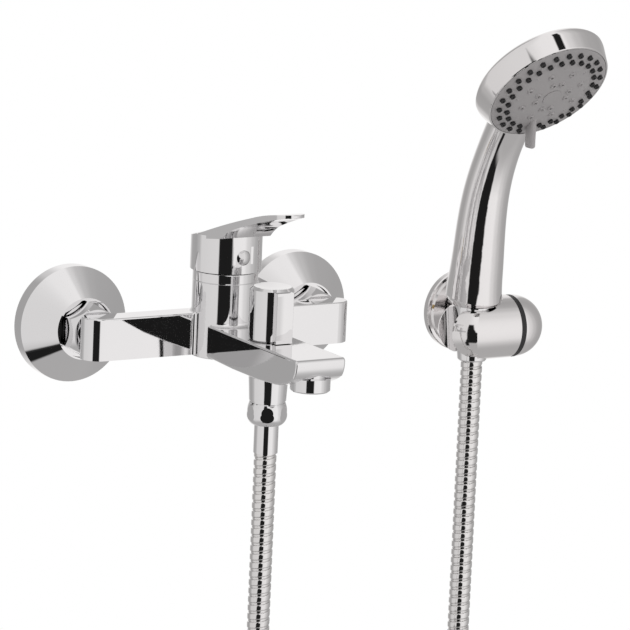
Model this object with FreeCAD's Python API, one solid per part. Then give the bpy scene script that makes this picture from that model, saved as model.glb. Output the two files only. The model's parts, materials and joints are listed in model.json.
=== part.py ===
import FreeCAD
import Part
import math
import os

# Bath mixer with a diverter, a hand shower on a ribbed hose and a tilting wall holder.
# Millimetres. +Z is up, the wall is the plane Y = 0 and the object stands out of it towards -Y.
# The origin is midway between the two wall inlets.

# Wall inlets and what covers them
inlet_spacing = 150.0
connector_bore_r = 7.5
wall_thread_r = 10.48
wall_thread_length = 14.0
connector_collar_r = 12.4
connector_collar_length = 8.0
union_thread_r = 13.2
connector_reach = 27.0
escutcheon_r = 34.4
escutcheon_rim = 8.5
escutcheon_reach = 24.0
escutcheon_mouth_r = 18.3
escutcheon_wall = 1.1
escutcheon_web = 2.4
union_nut_across = 29.0
union_nut_length = 14.5
union_nut_cover = 4.5
union_nut_lip = 2.6
washer_thickness = 1.6
union_tail_r = 11.0
union_tail_collar = 4.0
union_tail_root_r = 10.0
union_tail_root = 6.0

# Arms of the mixer body
arm_back = -39.1
arm_front = -54.2
arm_bottom = -12.9
arm_top = 11.8
arm_overhang = 13.3
arm_end_back = 5.0
arm_edge = 1.0
water_bore_r = 5.5

# Barrel, spout and shower outlet of the mixer body
barrel_y = -53.9
barrel_r = 19.2
barrel_bottom = -13.8
barrel_top = 31.0
chamber_floor = 8.0
port_circle_r = 7.5
port_r = 3.0
spout_width = 32.4
spout_top = 5.8
spout_floor = -13.8
spout_floor_back = -12.0
spout_tip = -167.0
spout_edge = 1.2
nose_r = 2.4
spout_blend = 2.0
arm_blend = 2.2
seam_edge = 0.35
channel_width = 15.0
channel_bottom = -3.6
channel_top = 2.6
diverter_y = -108.7
diverter_bore_r = 8.9
diverter_floor = -11.5
outlet_r = 11.6
outlet_end = -29.6
cup_seat = 14.6
cup_blend = 2.4
outlet_thread_r = 10.3
outlet_thread_length = 9.0
outlet_bore_r = 6.5

# Aerator
aerator_y = -155.9
aerator_r = 11.5
aerator_bottom = -14.4
aerator_shoulder = -6.4
aerator_thread_r = 9.1
aerator_thread_top = -2.0
aerator_seat = -0.6
aerator_bore_r = 7.8
aerator_hole_r = 0.9

# Cartridge
cartridge_r = 16.9
cartridge_base = 3.0
fixed_disc_r = 13.5
fixed_disc = 4.0
moving_disc_r = 9.0
moving_disc = 4.0
carrier = 4.0
housing_bore_r = 14.0
housing_shoulder = 28.2
housing_top = 36.6
housing_neck_r = 12.5
rotor_flange_r = 13.0
rotor_flange = 2.6
rotor_neck_r = 9.0
rotor_top = 36.4
pivot_height = 34.0
pivot_pin_r = 1.5
stem_width = 6.4
stem_depth = 7.0
stem_square = 8.0
stem_square_start = 40.6
stem_top = 52.6
stem_ball_r = 2.4
stem_arm = 12.0
nut_thread_r = 17.7
nut_neck_r = 16.7
nut_top = 35.2
dome_ring_top = 37.0
lever_lift_deg = 22.0

# Lever
cap_r = 20.95
cap_wall = 1.2
cap_bottom = 37.4
cap_top = 59.3
cap_roof = 52.9
cap_back_rise = 2.7
blade_tip_y = -132.8
blade_tip_r = 9.1
blade_root_r = 20.1
plug_height = 47.1
plug_r = 4.35
plug_dome = 1.4
plug_depth = 2.0
lever_screw_r = 2.4

# Diverter
knob_r = 12.8
knob_bottom = 6.2
knob_top = 37.0
knob_edge = 1.4
knob_dish = 1.5
fin_width = 10.6
fin_front = -124.6
fin_hollow = 0.5
gland_r = 11.4
gland_seat = 4.2
gland_top = 5.9
gland_thread_r = 8.8
gland_bottom = -3.0
spindle_r = 4.0
spindle_top = 30.0
spindle_collar_r = 6.0
spindle_collar = 1.8
valve_r = 8.4
valve_top = -7.4
valve_bottom = -10.6
seat_seal = 0.8

# Hose and its ends
hose_r = 6.6
hose_groove_r = 5.9
hose_bore_r = 4.2
rib_pitch = 5.1
rib_crest = 3.4
hose_nut_length = 14.2
hose_nut_across = 22.0
hose_nut_lip = 2.4
hose_nut_r = 11.5
ferrule_r = 7.1
ferrule_flange_r = 9.8
ferrule_flange = 1.0
ferrule_end = -60.8
mixer_bend_height = -202.0
shower_bend_height = -228.0
coil_r = 69.0
coil_x = 88.0
coil_height = -300.0
coil_pitch = 14.6
coil_slant_deg = 20.0
coil_turns = 2
hose_stub = 14.0
tie_width = 9.0
tie_thickness = 1.6

# Hand shower, standing in the holder
shower_x = 177.8
socket_y = -48.0
shower_turn_deg = 4.8
handle_bottom = 3.2
shell_wall = 2.2
handle_floor = 6.4
handle_foot_r = 13.6
inlet_end = -8.0
inlet_flange_r = 12.2
inlet_flange = 2.4
cone_top_r = 12.6
cone_bottom_r = 8.8
cone_top = 2.9
cone_bottom = -31.0
cone_thread_length = 14.4
waterway_r = 6.0
waterway_bore_r = 4.2
face_y = -108.9
face_z = 142.5
face_down_deg = 40.2
head_r = 41.9
head_lip_r = 38.9
head_side = 10.6
head_depth = 20.4
head_flare = 2.6
face_r = 37.5
face_thickness = 2.6
spray_body_r = face_r - 2.3
spray_body_front = 6.0
spray_body_back = 11.0
tab_width = 4.0
tab_back = 18.5
tab_bottom = 106.4
tab_root_drop = 17.0
tab_thickness = 7.0
tab_edge = 1.7
nozzle_r = 1.6
nozzle_reach = 1.4
nozzle_mat = 1.6
face_crown = 4.6
outer_phase_deg = 8.5
middle_phase_deg = 16.4
centre_phase_deg = -23.0
centre_pair_deg = 31.0
outer_nozzles = 24
outer_circle_r = 33.1
inner_circle_r = 28.4
middle_nozzles = 8
middle_circle_r = 19.2
centre_nozzles = 8
centre_circle_r = 11.0
centre_disc_r = 6.0
face_screw_r = 2.0

# Wall holder
holder_height = -11.6
cradle_r = 21.3
cradle_top = 1.0
cradle_bottom = -27.0
cradle_pocket_r = 14.4
cradle_half_height = 18.0
sleeve_start = shower_x - 2.0
sleeve_r = 19.2
sleeve_end = shower_x + 23.0
socket_clearance = 0.4
slot_width = 15.2
ring_width = 3.4
ring_bore_r = 10.2
dome_start = shower_x + 26.6
dome_r = 18.9
dome_straight = 0.8
hinge_spigot_r = 9.9
hinge_spigot_end = shower_x + 29.0
hinge_clearance = 0.1
pivot_screw_r = 2.5
pivot_screw_head_r = 4.5
pivot_screw_head = 3.0
pivot_screw_end = shower_x + 39.2
arm_x = shower_x + 29.4
arm_foot_r = 8.5
arm_foot_y = -6.1
plate_x = shower_x + 19.6
plate_height = -10.1
plate_r = 25.2
plate_thickness = 6.0
plate_step_r = 22.7
plate_step = 1.8
plate_wall = 1.4
base_r = 22.1
base_thickness = 3.4
base_spigot_r = 5.0
base_spigot_end = -14.0
base_hole_r = 2.6
base_hole_spacing = 28.0
base_hole_x = shower_x + 10.7
arm_screw_r = 2.0

# Fits
slip = 0.1
gap = 0.3
face_gap = 0.05

V = FreeCAD.Vector
X = V(1, 0, 0)
Y = V(0, 1, 0)
Z = V(0, 0, 1)
OUT = V(0, -1, 0)
DOWN = V(0, 0, -1)


# General shapes

def rod(radius, start, direction, length):
    return Part.makeCylinder(radius, length, start, direction)


def tube(outer, inner, start, direction, length):
    return rod(outer, start, direction, length).cut(rod(inner, start, direction, length))


def block(x, y, z):
    return Part.makeBox(x[1] - x[0], y[1] - y[0], z[1] - z[0], V(x[0], y[0], z[0]))


def hexagon(across, start, direction, length, turn=0.0):
    radius = across / math.sqrt(3)
    angles = [math.radians(60 * k) for k in range(7)]
    points = [V(radius * math.cos(a), radius * math.sin(a), 0) for a in angles]
    prism = Part.Face(Part.makePolygon(points)).extrude(V(0, 0, length))
    prism.rotate(V(0, 0, 0), Z, turn)
    prism.Placement = FreeCAD.Placement(start, FreeCAD.Rotation(Z, direction)).multiply(prism.Placement)
    return prism


def outline(points):
    """A closed wire. A point is (a, b), and a pair of points is an arc through the first to the second."""
    edges = []
    last = V(points[0][0], 0, points[0][1])
    for item in list(points[1:]) + [points[0]]:
        if isinstance(item[0], tuple):
            middle = V(item[0][0], 0, item[0][1])
            end = V(item[1][0], 0, item[1][1])
            edges.append(Part.Arc(last, middle, end).toShape())
        else:
            end = V(item[0], 0, item[1])
            if end.distanceToPoint(last) < 1e-6:
                continue
            edges.append(Part.LineSegment(last, end).toShape())
        last = end
    return Part.Wire(edges)


def turned(points, start, direction):
    """Points are (radius, distance along the axis)."""
    solid = Part.Face(outline(points)).revolve(V(0, 0, 0), Z, 360)
    solid.Placement = FreeCAD.Placement(start, FreeCAD.Rotation(Z, direction))
    return solid


def crown(edge, top, share=0.5):
    """A point of the arc that rises from the edge point to the height of the top on the axis."""
    rise = top - edge[1]
    radius = (edge[0] ** 2 + rise ** 2) / (2 * abs(rise))
    across = edge[0] * share
    drop = radius - math.sqrt(radius ** 2 - across ** 2)
    return (across, top - drop if rise > 0 else top + drop)


def profile_prism(points, half_width):
    """A side profile of (Y, Z) points, extruded to both sides of X = 0."""
    face = Part.Face(outline(points))
    face.rotate(V(0, 0, 0), Z, 90)
    solid = face.extrude(V(2 * half_width, 0, 0))
    solid.translate(V(-half_width, 0, 0))
    return solid


def joined(shapes):
    return shapes[0].fuse(shapes[1:]).removeSplitter() if len(shapes) > 1 else shapes[0]


def save(name, shape):
    if shape.ShapeType == "Compound" and len(shape.Solids) == 1:
        shape = shape.Solids[0]
    shape.exportStep(f"parts/{name}.step")


# Wall inlets

connector_end = -connector_reach
tail_start = connector_end - washer_thickness
union_nut_start = connector_end + union_nut_cover
union_nut_end = union_nut_start - union_nut_length


def wall_connector(x):
    shapes = [
        rod(wall_thread_r, V(x, 0, 0), Y, wall_thread_length),
        rod(connector_collar_r, V(x, 0, 0), OUT, connector_collar_length),
        rod(union_thread_r, V(x, -connector_collar_length, 0), OUT, connector_reach - connector_collar_length),
    ]
    bore = rod(connector_bore_r, V(x, wall_thread_length, 0), OUT, wall_thread_length + connector_reach)
    return joined(shapes).cut(bore)


def escutcheon(x):
    slope = (escutcheon_r - escutcheon_mouth_r) / (escutcheon_reach - escutcheon_rim)
    web_back = union_nut_start + gap + escutcheon_web
    inner_mouth = escutcheon_mouth_r - escutcheon_wall
    inner_rim = escutcheon_r - escutcheon_wall
    web_front = web_back - escutcheon_web

    def inner(y):
        return inner_mouth + slope * (escutcheon_reach + y)

    profile = [
        (escutcheon_r, 0),
        (escutcheon_r, escutcheon_rim),
        (escutcheon_mouth_r, escutcheon_reach),
        (inner_mouth, escutcheon_reach),
        (inner(web_front), -web_front),
        (union_thread_r + slip, -web_front),
        (union_thread_r + slip, -web_back),
        (inner(web_back), -web_back),
        (inner_rim, escutcheon_reach - (inner_rim - inner_mouth) / slope),
        (inner_rim, 0),
    ]
    return turned(profile, V(x, 0, 0), OUT)


def union_nut(x):
    start = V(x, union_nut_start, 0)
    corner_r = union_nut_across / math.sqrt(3)
    flat_r = union_nut_across / 2
    bevel = corner_r - flat_r
    envelope = turned(
        [(0, 0), (flat_r, 0), (corner_r, bevel), (corner_r, union_nut_length - 2 * bevel),
         (flat_r - 0.6, union_nut_length), (0, union_nut_length)], start, OUT)
    body = hexagon(union_nut_across, start, OUT, union_nut_length, 30).common(envelope)
    thread = rod(union_thread_r + slip, start, OUT, union_nut_length - union_nut_lip)
    mouth = rod(union_tail_r + slip, start, OUT, union_nut_length)
    return body.cut(thread).cut(mouth)


def union_tail(x):
    collar = rod(union_thread_r - gap, V(x, tail_start, 0), OUT, union_tail_collar)
    neck = rod(union_tail_r, V(x, tail_start, 0), OUT, tail_start - arm_back)
    root = rod(union_tail_root_r, V(x, arm_back, 0), OUT, union_tail_root)
    bore = rod(connector_bore_r, V(x, tail_start, 0), OUT, tail_start - arm_back + union_tail_root)
    return joined([collar, neck, root]).cut(bore)


def inlet_washer(x):
    return tube(union_thread_r - gap, connector_bore_r, V(x, connector_end, 0), OUT, washer_thickness)


# Mixer body

arm_mid_y = (arm_back + arm_front) / 2
arm_mid_z = (arm_bottom + arm_top) / 2


def port_places():
    angles = [150, 30, -90]
    return [
        V(port_circle_r * math.cos(math.radians(a)), barrel_y + port_circle_r * math.sin(math.radians(a)), 0)
        for a in angles
    ]


def arms_solid():
    end = inlet_spacing / 2 + arm_overhang
    back = end - arm_end_back
    front_r = arm_back - arm_front - arm_end_back
    front = end - front_r
    bend = arm_back - arm_end_back
    side = 1 - math.sqrt(0.5)
    points = [
        (-back, arm_back),
        (back, arm_back),
        ((end - arm_end_back * side, arm_back - arm_end_back * side), (end, bend)),
        ((end - front_r * side, arm_front + front_r * side), (front, arm_front)),
        (-front, arm_front),
        ((-end + front_r * side, arm_front + front_r * side), (-end, bend)),
        ((-end + arm_end_back * side, arm_back - arm_end_back * side), (-back, arm_back)),
    ]
    wire = outline(points)
    wire.rotate(V(0, 0, 0), X, -90)
    solid = Part.Face(wire).extrude(V(0, 0, arm_top - arm_bottom))
    solid.translate(V(0, 0, arm_bottom - solid.BoundBox.ZMin))
    if solid.BoundBox.YMin < arm_front - 1 or solid.BoundBox.YMin > arm_front + 1:
        solid = solid.mirror(V(0, 0, 0), Y)
    return solid


def spout_solid():
    profile = [
        (barrel_y + 8, spout_top),
        (spout_tip + nose_r, spout_top),
        ((spout_tip + nose_r * (1 - math.sqrt(0.5)), spout_top - nose_r * (1 - math.sqrt(0.5))),
         (spout_tip, spout_top - nose_r)),
        ((spout_tip + 0.5, spout_top - 6.6), (spout_tip + 2.6, spout_top - 11.0)),
        ((spout_tip + 11, spout_floor + 4.2), (spout_tip + 26, spout_floor + 1.2)),
        (diverter_y - cup_seat, spout_floor),
        (diverter_y + cup_seat, spout_floor),
        (barrel_y + 8, spout_floor_back),
    ]
    solid = profile_prism(profile, spout_width / 2).cut([
        rod(aerator_thread_r + slip, V(0, aerator_y, aerator_seat), DOWN, 40),
        rod(aerator_r + slip, V(0, aerator_y, aerator_shoulder), DOWN, 40),
    ])
    rims = [e for e in solid.Edges if e.BoundBox.XLength < 0.01 and e.BoundBox.YMin < barrel_y + 7]
    return solid.makeFillet(spout_edge, rims)


def outlet_solid():
    profile = [
        (0, 0),
        (outlet_r, 0),
        (outlet_r, -spout_floor + 2),
        ((outlet_r - 0.5, -outlet_end - 6.2), (outlet_thread_r + 0.5, -outlet_end)),
        (outlet_thread_r, -outlet_end),
        (outlet_thread_r, -outlet_end + outlet_thread_length),
        (0, -outlet_end + outlet_thread_length),
    ]
    return turned(profile, V(0, diverter_y, 0), DOWN)


def barrel_solid():
    profile = [
        (0, barrel_bottom),
        (barrel_r - seam_edge, barrel_bottom),
        (barrel_r, barrel_bottom + seam_edge),
        (barrel_r, barrel_top - seam_edge),
        (barrel_r - seam_edge, barrel_top),
        (0, barrel_top),
    ]
    return turned(profile, V(0, barrel_y, 0), Z)


def waterways():
    ports = port_places()
    tail_end = arm_back - union_tail_root
    shapes = [
        rod(cartridge_r + slip, V(0, barrel_y, chamber_floor), Z, barrel_top - chamber_floor + 1),
        rod(nut_thread_r + face_gap, V(0, barrel_y, housing_shoulder), Z, barrel_top),
        rod(diverter_bore_r, V(0, diverter_y, diverter_floor), Z, spout_top - diverter_floor + 1),
        rod(gland_r + slip, V(0, diverter_y, gland_seat), Z, spout_top - gland_seat + 1),
        rod(outlet_bore_r, V(0, diverter_y, diverter_floor + 1), DOWN, 40 + diverter_floor - outlet_end),
    ]
    for side in (-1, 1):
        x = side * inlet_spacing / 2
        shapes.append(rod(union_tail_root_r + slip, V(x, arm_back + 1, 0), OUT, union_tail_root + 1))
        shapes.append(rod(water_bore_r, V(x, tail_end, 0), OUT, 4))
        port = ports[0] if side < 0 else ports[1]
        start = V(port.x, arm_mid_y, arm_mid_z)
        reach = inlet_spacing / 2 + water_bore_r - abs(port.x)
        shapes.append(rod(water_bore_r, V(port.x, arm_mid_y, 0), V(side, 0, 0), reach))
        shapes.append(rod(port_r, V(port.x, port.y, -port_r), Z, chamber_floor + port_r + 1))
        shapes.append(rod(port_r, V(port.x, start.y, 0), OUT, start.y - port.y + port_r))
    mixed = ports[2]
    shapes.append(rod(port_r, V(mixed.x, mixed.y, channel_bottom), Z, chamber_floor - channel_bottom + 1))
    half = channel_width / 2
    shapes.append(block((-half, half), (aerator_y - 4, mixed.y + port_r), (channel_bottom, channel_top)))
    return shapes


def level_at(edge, height):
    box = edge.BoundBox
    return abs(box.ZMin - height) < 0.01 and abs(box.ZMax - height) < 0.01


def on_barrel(edge):
    span = edge.LastParameter - edge.FirstParameter
    points = [edge.valueAt(edge.FirstParameter + span * share) for share in (0.05, 0.5, 0.95)]
    return all(abs(math.hypot(point.x, point.y - barrel_y) - barrel_r) < 0.02 for point in points)


def barrel_with_arms():
    """The arms have rounded upper edges and run softly into the barrel."""
    arms = arms_solid()
    arms = arms.makeFillet(arm_edge, [e for e in arms.Edges if level_at(e, arm_top)])
    solid = joined([barrel_solid(), arms])
    roots = [
        e for e in solid.Edges
        if on_barrel(e) and e.BoundBox.ZMax < arm_top + 1 and e.BoundBox.ZMax > arm_bottom + 1
    ]
    return solid.makeFillet(arm_blend, roots)


def body_casting():
    """The casting without its bores; the spout and the shower outlet run softly into it."""
    solid = joined([barrel_with_arms(), spout_solid()])
    front = [e for e in solid.Edges if on_barrel(e) and e.BoundBox.YMax < barrel_y - barrel_r / 3]
    roots = [e for e in front if e.BoundBox.ZLength > 10 or spout_top - 0.1 < e.BoundBox.ZMax < spout_top + 0.1]
    solid = solid.makeFillet(spout_blend, roots)
    solid = joined([solid, outlet_solid()])
    cup = [
        e for e in solid.Edges
        if level_at(e, spout_floor) and abs(e.valueAt(e.FirstParameter).distanceToPoint(
            V(0, diverter_y, spout_floor)) - outlet_r) < 0.05
    ]
    return solid.makeFillet(cup_blend, cup)


def mixer_body():
    return body_casting().cut(waterways())


# Cartridge

base_top = chamber_floor + cartridge_base
fixed_top = base_top + fixed_disc
moving_top = fixed_top + face_gap + moving_disc
carrier_top = moving_top + carrier
flange_bottom = carrier_top + gap
flange_top = flange_bottom + rotor_flange
stem_foot = pivot_height - stem_arm
seal_section = 0.85
seal_r = port_r + seal_section


def cartridge_base_plate():
    plate = rod(cartridge_r, V(0, barrel_y, chamber_floor), Z, cartridge_base)
    cuts = []
    for port in port_places():
        cuts.append(rod(port_r, port + Z * chamber_floor, Z, cartridge_base))
        cuts.append(rod(seal_r + seal_section + slip, port + Z * chamber_floor, Z, 2 * seal_section))
    return plate.cut(cuts)


def port_seals():
    rings = [
        Part.makeTorus(seal_r, seal_section, port + Z * (chamber_floor + seal_section), Z)
        for port in port_places()
    ]
    return Part.makeCompound(rings)


def fixed_ceramic_disc():
    disc = rod(fixed_disc_r, V(0, barrel_y, base_top), Z, fixed_disc)
    return disc.cut([rod(port_r - 0.5, port + Z * base_top, Z, fixed_disc) for port in port_places()])


def moving_ceramic_disc():
    bottom = fixed_top + face_gap
    disc = rod(moving_disc_r, V(0, barrel_y, bottom), Z, moving_disc)
    pocket = rod(moving_disc_r - 2.6, V(0, barrel_y, bottom), Z, moving_disc * 0.5)
    return disc.cut(pocket)


def disc_carrier():
    solid = rod(moving_disc_r, V(0, barrel_y, moving_top), Z, carrier)
    half = stem_ball_r + gap
    notch = block((-half, half), (barrel_y - half, barrel_y + half), (stem_foot - half, carrier_top + 1))
    return solid.cut(notch)


def cartridge_housing():
    profile = [
        (housing_bore_r, base_top),
        (cartridge_r, base_top),
        (cartridge_r, housing_shoulder),
        (housing_neck_r, housing_shoulder),
        (housing_neck_r, housing_top),
        (rotor_neck_r + slip, housing_top),
        (rotor_neck_r + slip, flange_top + slip),
        (housing_bore_r, flange_top + slip),
    ]
    return turned(profile, V(0, barrel_y, 0), Z)


def cartridge_rotor():
    centre = V(0, barrel_y, 0)
    solid = rod(rotor_flange_r, centre + Z * flange_bottom, Z, rotor_flange)
    solid = solid.fuse(rod(rotor_neck_r, centre + Z * flange_bottom, Z, rotor_top - flange_bottom))
    half = stem_width / 2 + slip
    slot = block((-half, half), (barrel_y - 20, barrel_y + 20), (flange_top + slip, rotor_top + 1))
    foot = block((-half, half), (barrel_y - 7.5, barrel_y + 7.5), (flange_bottom - 1, flange_top + 1))
    pin = rod(pivot_pin_r, V(-20, barrel_y, pivot_height), X, 40)
    return solid.cut([slot, foot, pin]).removeSplitter()


def rotor_pivot_pin():
    return rod(pivot_pin_r, V(-rotor_neck_r + 0.6, barrel_y, pivot_height), X, 2 * rotor_neck_r - 1.2)


def lever_stem():
    ball = Part.makeSphere(stem_ball_r, V(0, barrel_y, stem_foot))
    shank = rod(stem_ball_r - 0.6, V(0, barrel_y, stem_foot), Z, stem_arm - 4)
    half = stem_width / 2
    deep = stem_depth / 2
    middle = block((-half, half), (barrel_y - deep, barrel_y + deep), (pivot_height - 4.5, stem_square_start))
    side = stem_square / 2
    top = block((-side, side), (barrel_y - side, barrel_y + side), (stem_square_start, stem_top))
    hole = rod(pivot_pin_r + face_gap, V(-20, barrel_y, pivot_height), X, 40)
    return joined([ball, shank, middle, top]).cut(hole)


def cartridge_nut():
    profile = [
        (housing_neck_r + slip, housing_shoulder),
        (nut_thread_r, housing_shoulder),
        (nut_thread_r, barrel_top),
        (nut_neck_r, barrel_top),
        (nut_neck_r, nut_top),
        (housing_neck_r + slip, nut_top),
    ]
    return turned(profile, V(0, barrel_y, 0), Z)


def dome_ring():
    inner = nut_neck_r + slip
    edge = 1.0
    profile = [
        (inner, barrel_top),
        (barrel_r - seam_edge, barrel_top),
        (barrel_r, barrel_top + seam_edge),
        (barrel_r, dome_ring_top - edge),
        ((barrel_r - edge * 0.2929, dome_ring_top - edge * 0.2929), (barrel_r - edge, dome_ring_top)),
        (inner - 1.5, dome_ring_top),
        (inner - 1.5, nut_top + face_gap),
        (inner, nut_top + face_gap),
    ]
    return turned(profile, V(0, barrel_y, 0), Z)


# Lever

def lever_profile():
    """Side profile of the blade and the cap's sloping roof: (Y, Z) points from the back to the tip."""
    back = barrel_y + cap_r
    top = [
        ((barrel_y + 8, cap_roof + 4.2), (barrel_y - 4.6, cap_roof + 7.6)),
        ((barrel_y - 27, cap_roof + 16.0), (barrel_y - 50, cap_roof + 23.6)),
        ((blade_tip_y + 14, cap_roof + 27.6), (blade_tip_y + 0.9, cap_roof + 29.5)),
    ]
    tip = [((blade_tip_y - 0.2, cap_roof + 28.5), (blade_tip_y + 1.2, cap_roof + 27.6))]
    under = [
        ((blade_tip_y + 19, cap_roof + 22.8), (barrel_y - 41, cap_roof + 16.7)),
        ((barrel_y - 29.6, cap_roof + 11.9), (barrel_y - cap_r - 0.3, cap_top)),
    ]
    return [(back, cap_roof), (back, cap_roof + cap_back_rise)] + top + tip + under


def blade_plan():
    """Hull of the root circle and the tip circle, seen from above."""
    tip_centre = blade_tip_y + blade_tip_r
    span = barrel_y - tip_centre
    lean = math.asin((blade_root_r - blade_tip_r) / span)
    root = (blade_root_r * math.cos(lean), barrel_y - blade_root_r * math.sin(lean))
    tip = (blade_tip_r * math.cos(lean), tip_centre - blade_tip_r * math.sin(lean))
    root_r = V(root[0], root[1], 0)
    root_l = V(-root[0], root[1], 0)
    tip_r = V(tip[0], tip[1], 0)
    tip_l = V(-tip[0], tip[1], 0)
    edges = [
        Part.LineSegment(root_r, tip_r).toShape(),
        Part.Arc(tip_r, V(0, blade_tip_y, 0), tip_l).toShape(),
        Part.LineSegment(tip_l, root_l).toShape(),
        Part.Arc(root_l, V(0, barrel_y + blade_root_r, 0), root_r).toShape(),
    ]
    return Part.Face(Part.Wire(edges)).extrude(V(0, 0, 120))


def lever_handle():
    centre = V(0, barrel_y, 0)
    blade = profile_prism(lever_profile(), cap_r + 1).common(blade_plan())
    cap = rod(cap_r, centre + Z * cap_bottom, Z, cap_top - cap_bottom)
    back_cut = profile_prism(
        [(barrel_y + 30, cap_roof + cap_back_rise), (barrel_y + cap_r, cap_roof + cap_back_rise),
         ((barrel_y + 8, cap_roof + 4.2), (barrel_y - 4.6, cap_roof + 7.6)), (barrel_y - 4.6, 90),
         (barrel_y + 30, 90)], 30)
    solid = cap.cut(back_cut).fuse(blade).removeSplitter()
    hollow = rod(cap_r - cap_wall, centre + Z * (cap_bottom - 1), Z, cap_roof - cap_bottom + 1)
    solid = solid.cut(hollow)
    side = stem_square / 2 + slip
    boss_half = side + 2.4
    boss = block((-boss_half, boss_half), (barrel_y - cap_r + cap_wall / 2, barrel_y + boss_half),
                 (stem_square_start + 2.5, cap_roof + 0.5))
    solid = solid.fuse(boss).removeSplitter()
    socket = block((-side, side), (barrel_y - side, barrel_y + side), (stem_square_start, stem_top + slip))
    screw_hole = rod(lever_screw_r + face_gap, V(0, barrel_y, plug_height), OUT, cap_r + 2)
    plug_hole = rod(plug_r + slip, V(0, barrel_y - cap_r + plug_depth, plug_height), OUT, 10)
    return solid.cut([socket, screw_hole, plug_hole])


def lever_screw():
    start = barrel_y - stem_square / 2
    screw = rod(lever_screw_r, V(0, start, plug_height), OUT, 9.0)
    return screw.cut(hexagon(2.5, V(0, start - 6.5, plug_height), OUT, 3.0))


def indicator_plug():
    face = cap_r - 0.4
    start = V(0, barrel_y - cap_r + plug_depth, plug_height)
    depth = face - (cap_r - plug_depth)
    profile = [
        (0, 0),
        (plug_r, 0),
        (plug_r, depth),
        (crown((plug_r, depth), depth + plug_dome), (0, depth + plug_dome)),
    ]
    return turned(profile, start, OUT)


# Diverter

def diverter_gland():
    profile = [
        (spindle_r + face_gap, gland_seat),
        (gland_r, gland_seat),
        (gland_r, gland_top),
        (spindle_r + face_gap, gland_top),
    ]
    flange = turned(profile, V(0, diverter_y, 0), Z)
    thread = tube(gland_thread_r, spindle_r + face_gap, V(0, diverter_y, gland_bottom), Z, gland_seat - gland_bottom)
    return flange.fuse(thread).removeSplitter()


def diverter_spindle():
    centre = V(0, diverter_y, 0)
    shaft = rod(spindle_r, centre + Z * valve_bottom, Z, spindle_top - valve_bottom)
    collar = rod(spindle_collar_r, centre + Z * (gland_bottom - face_gap), DOWN, spindle_collar)
    return shaft.fuse(collar).removeSplitter()


def diverter_valve():
    centre = V(0, diverter_y, valve_bottom)
    disc = tube(valve_r, spindle_r, centre, Z, valve_top - valve_bottom)
    window = block((-valve_r, valve_r), (diverter_y - valve_r, diverter_y - spindle_r - 1),
                   (valve_bottom - 1, valve_top + 1))
    return disc.cut(window)


def diverter_seat_seal():
    return tube(valve_r, outlet_bore_r, V(0, diverter_y, diverter_floor), Z, seat_seal)


def diverter_knob():
    edge = knob_edge
    profile = [
        (0, knob_bottom),
        (knob_r - 0.6, knob_bottom),
        (knob_r, knob_bottom + 0.6),
        (knob_r, knob_top - edge),
        (knob_r - edge, knob_top),
        (knob_r - edge - 0.8, knob_top),
        (crown((knob_r - edge - 0.8, knob_top), knob_top - knob_dish), (0, knob_top - knob_dish)),
    ]
    solid = turned(profile, V(0, diverter_y, 0), Z)
    half = fin_width / 2
    fin = block((-half, half), (fin_front, diverter_y), (knob_bottom, knob_top - edge))
    hollow_r = half * half / (2 * fin_hollow) + fin_hollow / 2
    hollow = rod(hollow_r, V(0, fin_front - hollow_r + fin_hollow, knob_bottom + 2), Z, knob_top - knob_bottom - 5)
    spindle_hole = rod(spindle_r + slip, V(0, diverter_y, knob_bottom), Z, spindle_top + slip - knob_bottom)
    screw_hole = rod(lever_screw_r + face_gap, V(0, diverter_y, 20), Y, knob_r + 1)
    return solid.fuse(fin).removeSplitter().cut([hollow, spindle_hole, screw_hole])


def diverter_screw():
    start = diverter_y + spindle_r
    screw = rod(lever_screw_r, V(0, start, 20), Y, knob_r - spindle_r - 1)
    return screw.cut(hexagon(2.5, V(0, diverter_y + knob_r - 3.5, 20), Y, 3.0))


# Aerator

def aerator_housing():
    centre = V(0, aerator_y, 0)
    profile = [
        (aerator_bore_r - 1.0, -aerator_bottom),
        (aerator_r - 0.8, -aerator_bottom),
        (aerator_r, -aerator_bottom - 0.8),
        (aerator_r, -aerator_shoulder),
        (aerator_thread_r, -aerator_shoulder),
        (aerator_thread_r, -aerator_thread_top),
        (aerator_bore_r, -aerator_thread_top),
        (aerator_bore_r, -aerator_bottom - 2.0),
        (aerator_bore_r - 1.0, -aerator_bottom - 2.0),
    ]
    return turned(profile, centre, DOWN)


def aerator_insert():
    centre = V(0, aerator_y, aerator_bottom + 2.0)
    solid = rod(aerator_bore_r - slip, centre, Z, 6.0)
    cuts = [rod(aerator_bore_r - 1.5, centre + Z * 1.6, Z, 6.0)]
    for ring_r, count in ((2.6, 6), (5.2, 12)):
        for k in range(count):
            a = 2 * math.pi * k / count
            place = centre + V(ring_r * math.cos(a), ring_r * math.sin(a), -1)
            cuts.append(rod(aerator_hole_r, place, Z, 4))
    return solid.cut(cuts)


def aerator_washer():
    height = aerator_seat - aerator_thread_top
    return tube(aerator_thread_r, aerator_bore_r - 1.5, V(0, aerator_y, aerator_thread_top), Z, height)


# Hose

outlet_thread_end = outlet_end - outlet_thread_length
hose_washer_end = outlet_thread_end - washer_thickness


def hose_nut_mixer():
    start = V(0, diverter_y, outlet_end)
    length = hose_nut_length
    waist = hose_nut_r - 2.6
    profile = [
        (0, 0),
        (waist + 0.8, 0),
        ((hose_nut_r - 0.4, length * 0.22), (hose_nut_r, length * 0.5)),
        ((hose_nut_r - 0.6, length * 0.84), (waist, length)),
        (0, length),
    ]
    barrel = turned(profile, start, DOWN)
    solid = barrel.common(hexagon(hose_nut_across, start, DOWN, length, 29))
    thread = rod(outlet_thread_r + slip, start, DOWN, length - hose_nut_lip)
    mouth = rod(ferrule_r + slip, start, DOWN, length + 1)
    return solid.cut([thread, mouth])


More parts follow.
